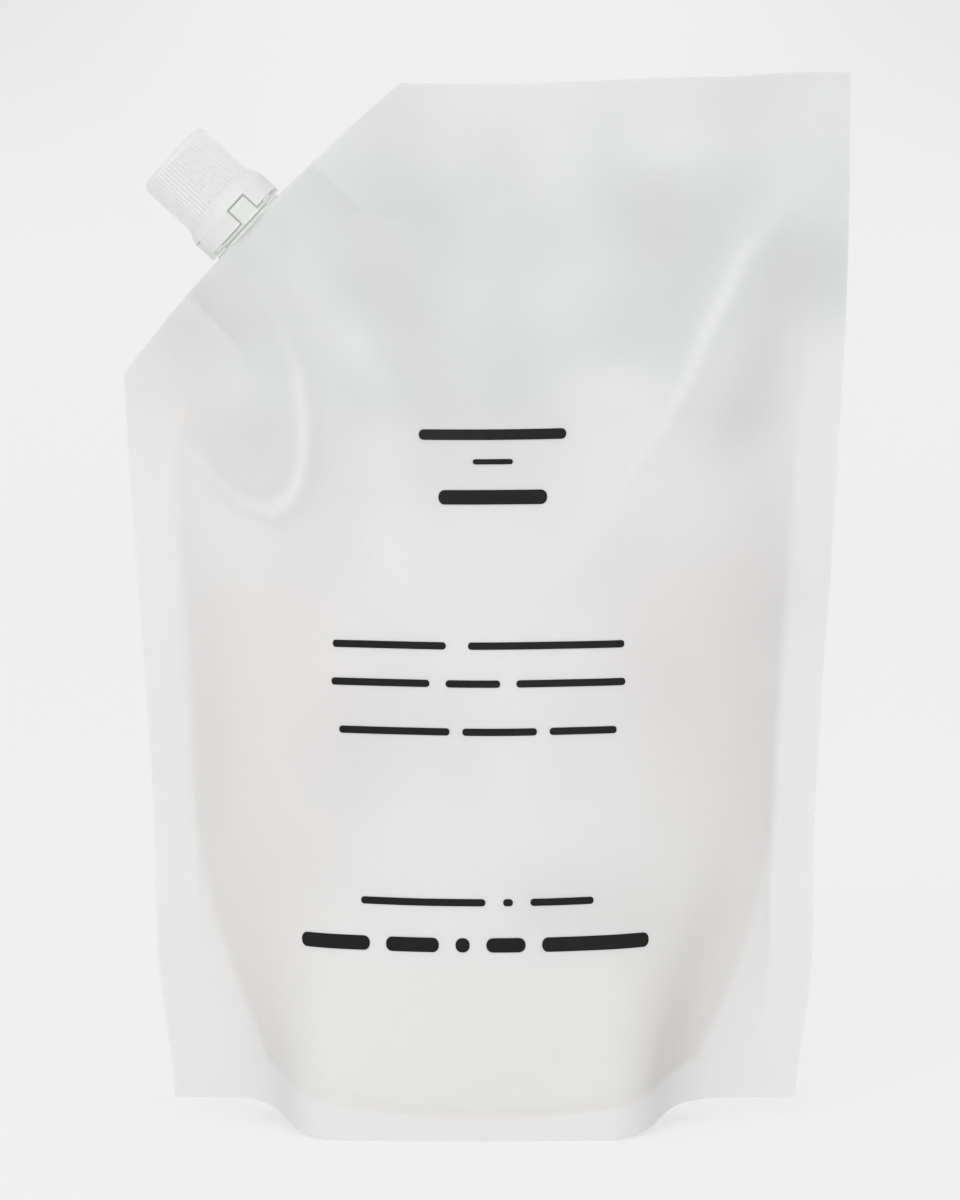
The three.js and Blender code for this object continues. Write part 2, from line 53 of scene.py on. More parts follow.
# %% [markdown]
# ## Camera
#
# The photograph was taken with a long lens from about a metre away and a little above the pack, so
# the sides stay nearly straight and the foot shows its curve. A long lens at a real distance gives
# the same mild perspective, which a near camera with a wide lens can't.

# %% Camera
IMAGE_HEIGHT = 1200
SENSOR = 36
FOCAL_PIXELS = 4859
CAMERA_DISTANCE = 1.0
CAMERA_HEIGHT = 0.2236
CAMERA_OFFSET = -0.0009
CAMERA_PITCH = 6.52
NEAREST = 0.05
FARTHEST = 20


def add_camera():
    data = bpy.data.cameras.new("camera")
    data.sensor_width = SENSOR
    data.lens = FOCAL_PIXELS * SENSOR / IMAGE_HEIGHT
    data.clip_start = NEAREST
    data.clip_end = FARTHEST
    camera = bpy.data.objects.new("camera", data)
    camera.location = (CAMERA_OFFSET, -CAMERA_DISTANCE, CAMERA_HEIGHT)
    camera.rotation_euler = (math.radians(90 - CAMERA_PITCH), 0, 0)
    bpy.context.scene.collection.objects.link(camera)
    bpy.context.scene.camera = camera
    return camera


camera = add_camera()
print("the lens is", round(camera.data.lens, 1), "mm")

# %% [markdown]
# ## Shader maths
#
# Masks for tints are easier to read as sums than as boxes and wires. This small class wraps one
# socket, and adds a Math node for each Python operator. Every other node comes from its one method,
# which sets the node up first and then feeds its inputs.

# %% A socket that can be added and multiplied
class Socket:
    def __init__(self, tree, source):
        self.tree = tree
        self.source = source

    def node(self, kind, settings=None, **inputs):
        """Adds a node. An input is given by its name, or by its number as i0, i1 and so on."""
        made = self.tree.nodes.new(kind)
        for name, value in (settings or {}).items():
            setattr(made, name, value)
        for name, value in inputs.items():
            key = int(name[1:]) if name[0] == "i" and name[1:].isdigit() else name.replace("_", " ")
            self.feed(made.inputs[key], value)
        return made

    def feed(self, target, value):
        if isinstance(value, Socket):
            self.tree.links.new(value.source, target)
        else:
            target.default_value = value

    def out(self, kind, settings=None, output=0, **inputs):
        return Socket(self.tree, self.node(kind, settings, **inputs).outputs[output])

    def math(self, operation, *values):
        inputs = {f"i{i}": value for i, value in enumerate(values)}
        return self.out("ShaderNodeMath", {"operation": operation}, **inputs)

    def __add__(self, other):
        return self.math("ADD", self, other)

    __radd__ = __add__

    def __mul__(self, other):
        return self.math("MULTIPLY", self, other)

    __rmul__ = __mul__

    def __sub__(self, other):
        return self.math("SUBTRACT", self, other)

    def __rsub__(self, other):
        return self.math("SUBTRACT", other, self)

    def absolute(self):
        return self.math("ABSOLUTE", self)

    def at_least(self, other):
        return self.math("MAXIMUM", self, other)

    def at_most(self, other):
        return self.math("MINIMUM", self, other)

    def rise(self, low, high):
        """0 below low and 1 above high, with a soft step between."""
        settings = {"interpolation_type": "SMOOTHSTEP"}
        return self.out("ShaderNodeMapRange", settings, Value=self, From_Min=low, From_Max=high)

    def tint(self, share, colour):
        """This colour, turned towards another one by a share."""
        settings = {"data_type": "RGBA"}
        return self.out("ShaderNodeMix", settings, output=2, i0=share, i6=self, i7=colour)


# %% Colours, materials and patterns
def srgb(*levels):
    """A colour written in the 0 to 255 steps of a screen, as the linear values that a shader takes."""
    steps = [level / 255 for level in levels]
    return (*[s / 12.92 if s <= 0.04045 else ((s + 0.055) / 1.055) ** 2.4 for s in steps], 1.0)


def new_material(name, **constants):
    """A material with its shader's fixed values set, the shader, and a socket to start sums from."""
    material = bpy.data.materials.new(name)
    material.use_nodes = True
    shader = material.node_tree.nodes["Principled BSDF"]
    for socket, value in constants.items():
        shader.inputs[socket.replace("_", " ")].default_value = value
    return material, shader, Socket(material.node_tree, None)


def plain_colour(start, colour):
    """A socket that gives one colour, for the tints to start from."""
    made = start.out("ShaderNodeRGB")
    made.source.default_value = colour
    return made


def object_place(start):
    """The three object coordinates, in metres, of the point being shaded."""
    place = start.out("ShaderNodeTexCoord", output=3)
    split = start.node("ShaderNodeSeparateXYZ", Vector=place)
    return place, [Socket(start.tree, split.outputs[i]) for i in range(3)]


def noise(start, place, scale, detail=1.0, **more):
    return start.out("ShaderNodeTexNoise", Vector=place, Scale=scale, Detail=detail, **more)


print("shader maths is ready")

# %% [markdown]
# ## The form of the filled film
#
# Film bends but doesn't stretch. So the pack's form is written over the flat film, as a place across
# it, X, and a place up it, Z, both in millimetres. One function says how far the soap pushes the film
# out from the middle plane at each place. The outline then draws in by itself, because a length of
# film that climbs outwards covers less width. A cloth simulation could find such a form too, but it
# would wrinkle where it likes, and this pack is calm.

# %% Sizes of the flat film
# The outline, with its cut corner. The line of the cut bows out a little.
PACK_WIDTH = 150
PACK_HEIGHT = 218
CUT_WIDTH = 57.75
CUT_HEIGHT = 61.5
CUT_BOW = 2.5

# The welds at the sides, the top and the cut, and the curved one that joins the folded foot.
SIDE_SEAL = 8.5
TOP_SEAL = 10
SLANT_SEAL = 13
SKIRT_SEAL = 6
FOLD_HEIGHT = 45

# The foot stands flat over a straight stretch, and turns up from there to the corners.
FOOT_CENTRE = -2.5
FOOT_STRAIGHT = 27
FOOT_TURN = 32
CORNER_LIFT = 4.5

HALF_WIDTH = PACK_WIDTH / 2
CAVITY = HALF_WIDTH - SIDE_SEAL
CUT_START = CUT_WIDTH - HALF_WIDTH
CUT_LENGTH = math.hypot(CUT_WIDTH, CUT_HEIGHT)
CUT_ANGLE = math.atan2(CUT_HEIGHT, CUT_WIDTH)
FOOT_END = FOOT_STRAIGHT + FOOT_TURN
print("the cut rises at", round(math.degrees(CUT_ANGLE), 1), "degrees")


# %% Outline and bottom weld
def step(low, high, value):
    """0 below low and 1 above high, with a soft step between."""
    share = np.clip((value - low) / (high - low), 0, 1)
    return share * share * (3 - 2 * share)


def rounded(share):
    """From 0 to 1 along a parabola: steep first, then level."""
    return 1 - (1 - np.clip(share, 0, 1)) ** 2


def arch(share):
    return 4 * share * (1 - share)


def foot_share(X):
    return 1 - step(FOOT_STRAIGHT, FOOT_END, np.abs(X - FOOT_CENTRE))


def bottom_edge(X):
    return CORNER_LIFT * (1 - foot_share(X))


def top_edge(X):
    share = np.clip((CUT_START - X) / CUT_WIDTH, 0, 1)
    return PACK_HEIGHT - CUT_HEIGHT * share + CUT_BOW * arch(share) / math.cos(CUT_ANGLE)


def weld_edge(X):
    """The upper edge of the curved bottom weld, at least a millimetre above the film's lower edge."""
    share = np.minimum(np.abs(X) / CAVITY, 1)
    curve = FOLD_HEIGHT - (FOLD_HEIGHT - SKIRT_SEAL) * np.sqrt(1 - share**2)
    return np.maximum(curve, bottom_edge(X) + 1)


print("the weld is", round(float(weld_edge(0.0)), 1), "mm high in the middle")

# %% [markdown]
# The spout's weld base is shaped like a boat, and the film closes round it in the cut corner. There
# the film stands out as far as the boat is thick. Lower down it lets go of the boat, spreads and
# sinks back.

# %% The film over the spout
SPOUT_PLACE = 43.9
BOAT_HALF_LENGTH = 17
BOAT_HALF_THICKNESS = 6.3
BOAT_DEPTH = 11
BOAT_SLACK = 0.6
WELD_LAYERS = 0.65
SPREAD = 1.5
ENDS_START = 0.9
ENDS_STOP = 1.6

# The film over half the boat is longer than the half itself, because it climbs over it.
BOAT_FILM = BOAT_HALF_LENGTH + BOAT_SLACK + 2 * BOAT_HALF_THICKNESS**2 / (3 * BOAT_HALF_LENGTH)

# The weld reaches past the boat. Most of it holds the film, which comes free three times as far down.
WELD_ZONE = 1.4 * BOAT_DEPTH
HELD_TO = 0.8 * WELD_ZONE
FREE_FROM = 3 * WELD_ZONE

# The spout stands on the line of the cut, a little out with its bow.
SEAT_BOW = CUT_BOW * arch(SPOUT_PLACE / CUT_LENGTH)
SEAT = CUT_START - SPOUT_PLACE * math.cos(CUT_ANGLE) - SEAT_BOW * math.sin(CUT_ANGLE)


def from_spout(X, Z):
    """Along the cut edge from the spout, and outwards past the edge."""
    across, up = X - SEAT, Z - top_edge(SEAT)
    cos, sin = math.cos(CUT_ANGLE), math.sin(CUT_ANGLE)
    return across * cos + up * sin, up * cos - across * sin


def spout_bulge(X, Z):
    along, outward = from_spout(X, Z)
    below = step(HELD_TO, FREE_FROM, -outward)
    half = BOAT_FILM * (1 + SPREAD * below)
    boat = np.maximum(1 - (along / half) ** 2, 0) ** (1 + below)
    ends = 1 - step(ENDS_START * half, ENDS_STOP * half, np.abs(along))
    return (BOAT_HALF_THICKNESS * boat + WELD_LAYERS * ends) * (1 - below)


print("the spout sits", round(SEAT, 1), "mm from the middle")

# %% [markdown]
# Elsewhere the soap makes the form. It is deepest at the belly, a little less deep at the foot, and
# it tapers to nothing at the top weld. Across the pack it is an oval higher up. At the foot it is the
# flat-bottomed curve of a pack that stands, with thin fins of welded film at its sides.

# %% How far the film stands out
FOOT_DEPTH = 22
BELLY_DEPTH = 24.5
BELLY_HEIGHT = 46
TAPER_START = 1.7
TAPER_END = 1.15
FIN_SLOPE = 0.2
FOOT_BLEND = FOLD_HEIGHT + 10
SKIRT_LAYERS = 0.3
SKIRT_TOP = FOLD_HEIGHT + 25
HAIR = 0.03


def centre_depth(Z):
    foot = BELLY_DEPTH - (BELLY_DEPTH - FOOT_DEPTH) * (1 - Z / BELLY_HEIGHT) ** 2
    rise = np.clip((Z - BELLY_HEIGHT) / (PACK_HEIGHT - TOP_SEAL - BELLY_HEIGHT), 0, 1)
    return np.where(Z < BELLY_HEIGHT, foot, BELLY_DEPTH * (1 - rise**TAPER_START) ** TAPER_END)


def bulge(X, Z):
    """How far the film stands out from the middle plane. A hair is kept, so that the webs never meet."""
    across = rounded((CAVITY - np.abs(X)) / CAVITY)
    low = 1 - step(0, FOOT_BLEND, Z)
    section = across * (1 - low) + (foot_share(X) * (1 - FIN_SLOPE) + across * FIN_SLOPE) * low
    inset = -from_spout(X, Z)[1] - SLANT_SEAL
    belly = centre_depth(Z) * section * rounded(inset / CAVITY)
    layers = SKIRT_LAYERS * (1 - step(FOLD_HEIGHT, SKIRT_TOP, Z)) + HAIR
    return np.maximum(np.hypot(np.maximum(belly, 0), spout_bulge(X, Z)), layers)


belly = float(bulge(0.0, float(BELLY_HEIGHT)))
print("the belly is", round(belly, 1), "mm deep on its centre line")

# %% [markdown]
# The next function turns places on the flat film into places in space. It walks along the film in
# small steps and adds up how much of each step is left in the middle plane, for all the points at
# once.

# %% From flat film to space
STEPS = 90
STEEPEST = 0.05
NO_LENGTH = 1e-9


def walked(start, end, depth_at):
    """Lengths along the film from start to end, as lengths in the middle plane."""
    total = np.zeros_like(end)
    length = (end - start) / STEPS
    before = depth_at(start)
    for i in range(1, STEPS + 1):
        after = depth_at(start + length * i)
        slope = (after - before) / np.where(np.abs(length) < NO_LENGTH, 1, length)
        total += length * np.sqrt(np.maximum(1 - slope**2, STEEPEST))
        before = after
    return total


def in_space(X, Z):
    x = walked(np.zeros_like(X), X, lambda at: bulge(at, Z))
    foot = bottom_edge(X)
    return x, foot + walked(foot, Z, lambda at: bulge(X, at))


right, top = in_space(np.array([HALF_WIDTH]), np.array([float(PACK_HEIGHT)]))
print("the upper right corner is at", round(float(right[0]), 1), round(float(top[0]), 1), "mm")

# %% [markdown]
# ## Making pieces
#
# Every piece goes the same way: a mesh is built and linked, gets its gauge from a Solidify modifier,
# is shaded smooth, and is handed to the body that it moves with. Smooth shading would bend the light
# round the thin edges of the film too, and darken them. So edges sharper than a set angle stay sharp.

# %% Linking, thickening and dressing
SHARP_EDGE = 40


def link_mesh(name, mesh_builder):
    mesh = bpy.data.meshes.new(name)
    mesh_builder.to_mesh(mesh)
    mesh_builder.free()
    piece = bpy.data.objects.new(name, mesh)
    bpy.context.scene.collection.objects.link(piece)
    return piece


def smooth(piece):
    for face in piece.data.polygons:
        face.use_smooth = True
    piece.data.set_sharp_from_angle(angle=math.radians(SHARP_EDGE))


def away(sheet, side):
    """The Solidify offset that puts a sheet's gauge on the side away from the middle plane."""
    total = sum(face.normal.y * face.area for face in sheet.data.polygons)
    return 1 if total * side > 0 else -1


def thicken(sheet, gauge, offset):
    """Makes an open sheet a closed skin. An offset of 0 puts half of the gauge on each side."""
    skin = sheet.modifiers.new("gauge", "SOLIDIFY")
    skin.thickness = gauge * MM
    skin.offset = offset
    bpy.context.view_layer.update()
    graph = bpy.context.evaluated_depsgraph_get()
    done = bpy.data.meshes.new_from_object(sheet.evaluated_get(graph))
    sheet.modifiers.clear()
    sheet.data = done


def dress(piece, body, slot, material, *nodes):
    """Hands a piece to its body and the nodes that it stands for, and gives it its material. The slot is
    not used.
    """
    piece.data.materials.clear()
    piece.data.materials.append(material)
    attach(piece, body)
    if nodes:
        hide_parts(*nodes)
    print(piece.name, "has", len(piece.data.polygons), "faces")


print("pieces can be made")

# %% [markdown]
# ## Creases
#
# Two marks tell that this is film: a long U that hangs below the spout, where the stiff weld base
# meets the slack film, and a fold that runs down from the upper right, with a hollow beside it.
# Softer folds lie between them. They could be a bump map, which would look flat from the side. Here
# each one is a curve over the flat film with a width and a height, and the heights go into the mesh.

# %% Curves of the creases
U_CREASE = [
    (-50, 182), (-43, 170), (-39, 158), (-37.8, 146), (-38.5, 138),
    (-40.8, 132), (-45, 128.5), (-51.5, 130.5), (-58, 135.5), (-64, 142), (-68, 148),
]
FOLD_CREASE = [(66, 194), (54, 182), (47, 168), (42.5, 157), (36, 145), (29, 135), (20, 123)]
HOLLOW = [(68, 192), (62, 170), (57, 154), (50, 134)]

# Each fold is a curve, a width and a height, which is negative for a hollow.
SHARP_FOLDS = [
    (U_CREASE, 1.6, 0.5),
    (U_CREASE, 5, -0.3),
    (FOLD_CREASE, 1.8, 0.35),
    (FOLD_CREASE, 8, 0.6),
    (HOLLOW, 8, -0.8),
]
SOFT_FOLDS = [
    ([(-44, 182), (-28, 165), (-10, 146)], 6, 0.5),
    ([(-26, 130), (-11, 102)], 4, 0.35),
    ([(2, 128), (-9, 104)], 3, 0.25),
    ([(32, 136), (8, 112)], 5, 0.3),
    ([(76, 206), (56, 187), (48, 170), (40, 150)], 5, 0.35),
    ([(-26, 198), (-17, 166), (-6, 134)], 8, -0.5),
    ([(34, 202), (39, 176)], 7, -0.5),
    ([(0, 50), (44, 44)], 9, -0.3),
    ([(57, 66), (45, 36), (39, 14), (38, -12)], 7, -0.4),
    ([(54, 124), (63, 50)], 7, -0.2),
    ([(-60, 128), (-63, 50)], 6, -0.2),
]
print("the front has", len(SHARP_FOLDS) + len(SOFT_FOLDS), "folds")

# %% Relief of the front panel
FOLD_FADE = 0.3
POCKET = [(-50, 182), (-49, 140)]
POCKET_HEIGHT = 0.8
POCKET_RIM = (6, 11)
RELIEF_SIDE = 4
RELIEF_FOOT = (25, 50)


def curve_distance(X, Z, points):
    """How far each place is from a line through points, and how far along it that is, from 0 to 1."""
    best = np.full(X.shape, np.inf)
    along = np.zeros(X.shape)
    spans = len(points) - 1
    for i in range(spans):
        (ax, az), (bx, bz) = points[i], points[i + 1]
        dx, dz = bx - ax, bz - az
        share = np.clip(((X - ax) * dx + (Z - az) * dz) / (dx * dx + dz * dz), 0, 1)
        reach = np.hypot(X - ax - share * dx, Z - az - share * dz)
        along = np.where(reach < best, (i + share) / spans, along)
        best = np.minimum(best, reach)
    return best, along


def ridge(X, Z, points, width):
    """1 along a curve and 0 a few widths away. It fades at both of the curve's ends."""
    reach, along = curve_distance(X, Z, points)
    fade = step(0, FOLD_FADE, along) * (1 - step(1 - FOLD_FADE, 1, along))
    return np.exp(-((reach / width) ** 2)) * fade


def folded(X, Z, folds):
    return sum(height * ridge(X, Z, points, width) for points, width, height in folds)


def front_relief(X, Z):
    free = 1 - step(CAVITY - RELIEF_SIDE, CAVITY, np.abs(X))
    pocket = POCKET_HEIGHT * (1 - step(*POCKET_RIM, curve_distance(X, Z, POCKET)[0]))
    height = folded(X, Z, SHARP_FOLDS) + pocket + folded(X, Z, SOFT_FOLDS)
    return height * free * step(*RELIEF_FOOT, Z)


fold_x, fold_z = FOLD_CREASE[3]
fold_height = float(front_relief(np.array([fold_x]), np.array([fold_z]))[0])
print("the long fold stands", round(fold_height, 1), "mm high")

# %% [markdown]
# Under those marks the whole film is a little uneven. A sum of a few long waves, seeded so that it
# comes out the same each time, gives each panel its own slow ripple. Finer folds hang from the top
# weld of the front. Both fade out at the welds, which are pressed flat, and at the foot, which the
# soap pulls tight.

# %% Slow ripples
RIPPLE_WAVES = 14
RIPPLE_LENGTHS = (22, 60)
RIPPLE_HEIGHT = 1.0
FRONT_SEED = 4
BACK_SEED = 9

# The folds under the top weld are a coarse wave, whose pace drifts, and a fine one that starts aside.
PULL_HEIGHT = 0.16
PULL_REACH = (120, 185)
COARSE_PULL = 6.5
DRIFT = 17
DRIFT_SHARE = 0.6
FINE_PULL = 3.9
FINE_START = 1.3
FINE_SHARE = 0.6

# Ripples reach their full height this far from the side welds, from the other welds and up the foot.
RIPPLE_SIDE = 10
RIPPLE_EDGE = 12
RIPPLE_FOOT = (25, 60)


def ripple(X, Z, seed):
    rng = random.Random(seed)
    total = np.zeros(X.shape)
    for _ in range(RIPPLE_WAVES):
        length = rng.uniform(*RIPPLE_LENGTHS)
        angle = rng.uniform(0, math.pi)
        phase = rng.uniform(0, 2 * math.pi)
        total += np.sin((X * math.cos(angle) + Z * math.sin(angle)) * 2 * math.pi / length + phase)
    return RIPPLE_HEIGHT * total / RIPPLE_WAVES


def pulls(X, Z):
    """Shallow folds that hang from the top weld: a coarse wave of uneven pace, and a finer one."""
    coarse = np.sin(X / COARSE_PULL + DRIFT_SHARE * np.sin(X / DRIFT))
    fine = FINE_SHARE * np.sin(X / FINE_PULL + FINE_START)
    return PULL_HEIGHT * (coarse + fine) * step(*PULL_REACH, Z)


def free_film(X, Z):
    """1 where the film hangs free, 0 on the welds."""
    sides = 1 - step(CAVITY - RIPPLE_SIDE, CAVITY, np.abs(X))
    top = step(0, RIPPLE_EDGE, PACK_HEIGHT - TOP_SEAL - Z)
    slant = step(0, RIPPLE_EDGE, -from_spout(X, Z)[1] - SLANT_SEAL)
    return sides * top * slant * step(*RIPPLE_FOOT, Z)


def front_extra(X, Z):
    return front_relief(X, Z) + (ripple(X, Z, FRONT_SEED) + pulls(X, Z)) * free_film(X, Z)


def back_extra(X, Z):
    return ripple(X, Z, BACK_SEED) * free_film(X, Z)


print("creases and ripples are ready")

# %% [markdown]
# ## What stands behind the film
#
# The tone of frosted film depends on what touches it from behind. Noise on its coordinates couldn't
# know that, but the functions of the form do. A colour attribute holds it as four masks: red is 1
# where webs are welded flat together, green is 1 where the soap behind is deep, blue is 1 where the
# film bends back into shade, and alpha is 1 along a crease that catches the light.

# %% Masks of the film
# The side welds widen towards the lower corners and fade out where the film above is empty.
CORNER_TOP = 62
CORNER_SLANT = 0.27
SIDE_WELD_EDGE = (-2.5, 1)
SIDE_WELD_TOP = (100, 150)
SIDE_WELD_TILT = 0.25
SKIRT_EDGE = (-1.5, 1.5)
SKIRT_SPREAD = 0.75

# The soap shows up to near its level, a little less high on the right.
FILL_LEVEL = 150
LEVEL_BLUR = (FILL_LEVEL - 12, FILL_LEVEL + 6)
LEVEL_TILT = 0.12

# Shades and gleams lie beside and along the creases.
U_SHADE_SHIFT = (2.5, -1)
OUTSIDE_U = [(x + U_SHADE_SHIFT[0], z + U_SHADE_SHIFT[1]) for x, z in U_CREASE]
SHADED = [(HOLLOW, 7, 0.8), (OUTSIDE_U, 2.5, 0.4)]
GLEAMING = [(U_CREASE, 1.4, 0.9), (FOLD_CREASE, 1.9, 0.6)]


def welded(X, Z):
    edge = CAVITY - CORNER_SLANT * np.maximum(CORNER_TOP - Z, 0)
    sides = step(*SIDE_WELD_EDGE, np.abs(X) - edge) * (1 - step(*SIDE_WELD_TOP, Z + SIDE_WELD_TILT * X))
    skirt = 1 - step(*SKIRT_EDGE, Z - weld_edge(SKIRT_SPREAD * X))
    return np.maximum(sides, skirt)


def soap_behind(X, Z):
    filled = 1 - step(*LEVEL_BLUR, Z + LEVEL_TILT * X)
    return filled * (1 - welded(X, Z)) * np.clip(bulge(X, Z) / BELLY_DEPTH, 0, 1)


def shade(X, Z):
    return np.clip(folded(X, Z, SHADED) - folded(X, Z, SOFT_FOLDS), 0, 1)


def gleam(X, Z):
    return np.clip(folded(X, Z, GLEAMING) + folded(X, Z, SOFT_FOLDS), 0, 1)


def add_masks(grid, X, Z, creased):
    layer = grid.verts.layers.float_color.new("masks")
    masks = zip(welded(X, Z), soap_behind(X, Z), shade(X, Z) * creased, gleam(X, Z) * creased)
    for vertex, mask in zip(grid.verts, masks):
        vertex[layer] = mask


print("the masks can be worked out")

# %% [markdown]
# ## The two panels
#
# The panels of a real pouch are flat sheets until the soap pushes them out, and they are made so
# here. A flat grid has its points moved to their places on the filled film, where a sculpted body
# would lose the true length of the sheet. The gauge of real film then makes it a closed skin with an
# edge that catches light.

# %% A panel of film
PANEL_COLUMNS = 180
PANEL_ROWS = 240
FILM = 0.2


def film_grid(columns, rows):
    """A grid whose UV map holds its place across and up the film, from 0 to 1."""
    grid = bmesh.new()
    grid.loops.layers.uv.new("film")
    bmesh.ops.create_grid(grid, x_segments=columns, y_segments=rows, size=0.5, calc_uvs=True)
    return grid


def grid_shares(grid):
    flat = np.array([vertex.co[:2] for vertex in grid.verts])
    return flat[:, 0] + 0.5, flat[:, 1] + 0.5


def place_vertices(grid, x, y, z):
    for vertex, place in zip(grid.verts, np.stack([x, y, z], 1) * MM):
        vertex.co = place


def build_panel(name, side, extra):
    grid = film_grid(PANEL_COLUMNS, PANEL_ROWS)
    u, v = grid_shares(grid)
    X = (u * 2 - 1) * HALF_WIDTH
    low, high = bottom_edge(X), top_edge(X)
    Z = low + (high - low) * v
    x, z = in_space(X, Z)
    y = side * np.maximum(bulge(X, Z) + extra(X, Z), HAIR)
    place_vertices(grid, x, y, z)
    add_masks(grid, X, Z, creased=side < 0)
    bmesh.ops.recalc_face_normals(grid, faces=grid.faces)
    panel = link_mesh(name, grid)
    thicken(panel, FILM, away(panel, side))
    smooth(panel)
    return panel


front = build_panel("front_film", -1, front_extra)
back = build_panel("back_film", 1, back_extra)
print("the front panel spans", [round(side, 4) for side in front.dimensions])

# %% [markdown]
# ## The gusset
#
# The third web runs down inside the front panel, across the foot and up inside the back. It hangs
# like a hammock between the curved welds, and the soap presses it flat on the table in the middle. It
# is one grid too: the outer quarters of its rows lie in the welds, and the rows between them hang.

# %% The folded foot
GUSSET_COLUMNS = 120
GUSSET_ROWS = 72
SKIRT_SHARE = 0.25
SKIRT_INSET = 0.2
MEMBRANE_DROP = 0.55


def membrane_height(edge_y, edge_z, share):
    """The height of the hanging web, from its middle at a share of 0 to the weld at 1."""
    lowest = edge_z - MEMBRANE_DROP * edge_y
    return np.maximum(lowest + (edge_z - lowest) * share**2, FILM / 2)


def build_gusset():
    grid = film_grid(GUSSET_COLUMNS, GUSSET_ROWS)
    u, v = grid_shares(grid)
    X = (u * 2 - 1) * HALF_WIDTH
    mirrored = np.where(v > 0.5, 1, -1)
    near = np.minimum(v, 1 - v)
    up = np.clip(near / SKIRT_SHARE, 0, 1)
    low, high = bottom_edge(X), weld_edge(X)
    Z = low + (high - low) * up
    x, z = in_space(X, Z)
    y = bulge(X, Z) - SKIRT_INSET
    across = np.clip((near - SKIRT_SHARE) / (0.5 - SKIRT_SHARE), 0, 1)
    hanging = near > SKIRT_SHARE
    height = membrane_height(y, z, 1 - across)
    place_vertices(grid, x, mirrored * y * (1 - across), np.where(hanging, height, z))
    gusset = link_mesh("foot_film", grid)
    thicken(gusset, FILM, 0)
    smooth(gusset)
    return gusset


gusset = build_gusset()
print("the gusset is", round(gusset.dimensions.y / MM, 1), "mm deep")

# %% [markdown]
# ## The soap
#
# The liquid fills everything between the film up to its own level, so its front and back are the
# film's own form with a hair of clearance. Two grids make the front and the back, and their rims are
# bridged. The long bridging edges are then cut: at the top they lie on the level surface, and at the
# bottom they settle on the gusset.

# %% Front and back of the soap
SOAP_COLUMNS = 90
SOAP_ROWS = 110
SOAP_MARGIN = 1.5
SOAP_GAP = 0.25
SOAP_LIFT = 0.6
SOAP_LEAST = 0.2
LEVEL_ROUNDS = 4
FIRST_ROW = 1e-6


def soap_top(X):
    """Where the soap's level meets the film, measured up the film. Each round comes closer to it."""
    guess = np.full(X.shape, float(FILL_LEVEL))
    for _ in range(LEVEL_ROUNDS):
        guess += FILL_LEVEL - in_space(X, guess)[1]
    return np.minimum(guess, top_edge(X) - TOP_SEAL)


def soap_depth(X, Z, extra):
    return np.maximum(bulge(X, Z) + extra(X, Z) - SOAP_GAP, SOAP_LEAST)


def soap_sheets():
    """The soap's front and back as two open sheets, and its keel: where each column of points starts."""
    grid = film_grid(SOAP_COLUMNS, SOAP_ROWS)
    u, v = grid_shares(grid)
    X = (u * 2 - 1) * (CAVITY - SOAP_MARGIN)
    low, high = weld_edge(X) + SOAP_LIFT, soap_top(X)
    Z = low + (high - low) * v
    x, z = in_space(X, Z)
    place_vertices(grid, x, -soap_depth(X, Z, front_extra), z)
    keel = {
        round(vertex.co.x, 6): (vertex.co.z / MM, -vertex.co.y / MM)
        for vertex, share in zip(grid.verts, v) if share < FIRST_ROW
    }
    copied = bmesh.ops.duplicate(grid, geom=list(grid.verts) + list(grid.edges) + list(grid.faces))
    back_verts = [item for item in copied["geom"] if isinstance(item, bmesh.types.BMVert)]
    for vertex, depth in zip(back_verts, soap_depth(X, Z, back_extra)):
        vertex.co.y = depth * MM
    return grid, keel


level = float(soap_top(np.array([0.0]))[0])
print("the level meets the film", round(level, 1), "mm up it")


# %% Closing the soap
RIM_CUTS = 15
SAME_HEIGHT = 1e-4
LEAST_SPAN = 1e-5


def settle(verts, keel):
    """Sets the points of the soap's underside down to the hanging gusset."""
    for vertex in verts:
        edge_z, depth = keel.get(round(vertex.co.x, 6), (0.0, 1.0))
        if abs(vertex.co.z / MM - edge_z) < SAME_HEIGHT:
            share = min(abs(vertex.co.y) / MM / depth, 1.0)
            clear = SOAP_GAP * (1 - share**2)
            vertex.co.z = (float(membrane_height(depth, edge_z, share)) + clear) * MM


def build_soap():
    grid, keel = soap_sheets()
    rims = [edge for edge in grid.edges if edge.is_boundary]
    bridged = bmesh.ops.bridge_loops(grid, edges=rims)
    spans = [
        edge for edge in bridged["edges"]
        if abs(edge.verts[0].co.y - edge.verts[1].co.y) > LEAST_SPAN
    ]
    cut = bmesh.ops.subdivide_edges(grid, edges=spans, cuts=RIM_CUTS, use_grid_fill=True)
    settle([item for item in cut["geom_inner"] if isinstance(item, bmesh.types.BMVert)], keel)
    bmesh.ops.recalc_face_normals(grid, faces=grid.faces)
    return link_mesh("soap_body", grid)


soap = build_soap()
smooth(soap)
print("the soap's level is at", round(max(v.co.z for v in soap.data.vertices) / MM, 1), "mm")

# %% [markdown]
# ## Frosted film
#
# The film is milky: light comes through, but forms behind it blur. A rough shader with a part of its
# alpha taken away gives that, without the noise of true refraction. The film is warmer where soap
# stands behind it. Where the pouch is empty it is cooler and greyer, partly from the bare webs and
# partly from painted shade inside the empty pouch. Near the foot it has painted light: its colour is
# made lighter there. It is patchy all over. Folds take their shade and their gleam from the masks.

# %% Tints of the film
FILM_CLEAR = srgb(242, 242, 243)
FILM_WELD = srgb(241, 241, 241)
# The empty part's tint is partly the bare webs, and partly painted shade from inside the empty pouch.
FILM_COOL_AND_SHADED = srgb(225, 227, 227)
FILM_WARM = srgb(243, 240, 236)
# The next tint is painted light: it makes the film lighter near the foot.
FILM_PAINTED_LIGHT = srgb(247, 247, 246)
FILM_PATCH = srgb(234, 232, 233)
FILM_SHADE = srgb(222, 221, 220)
FILM_GLEAM = srgb(250, 250, 250)

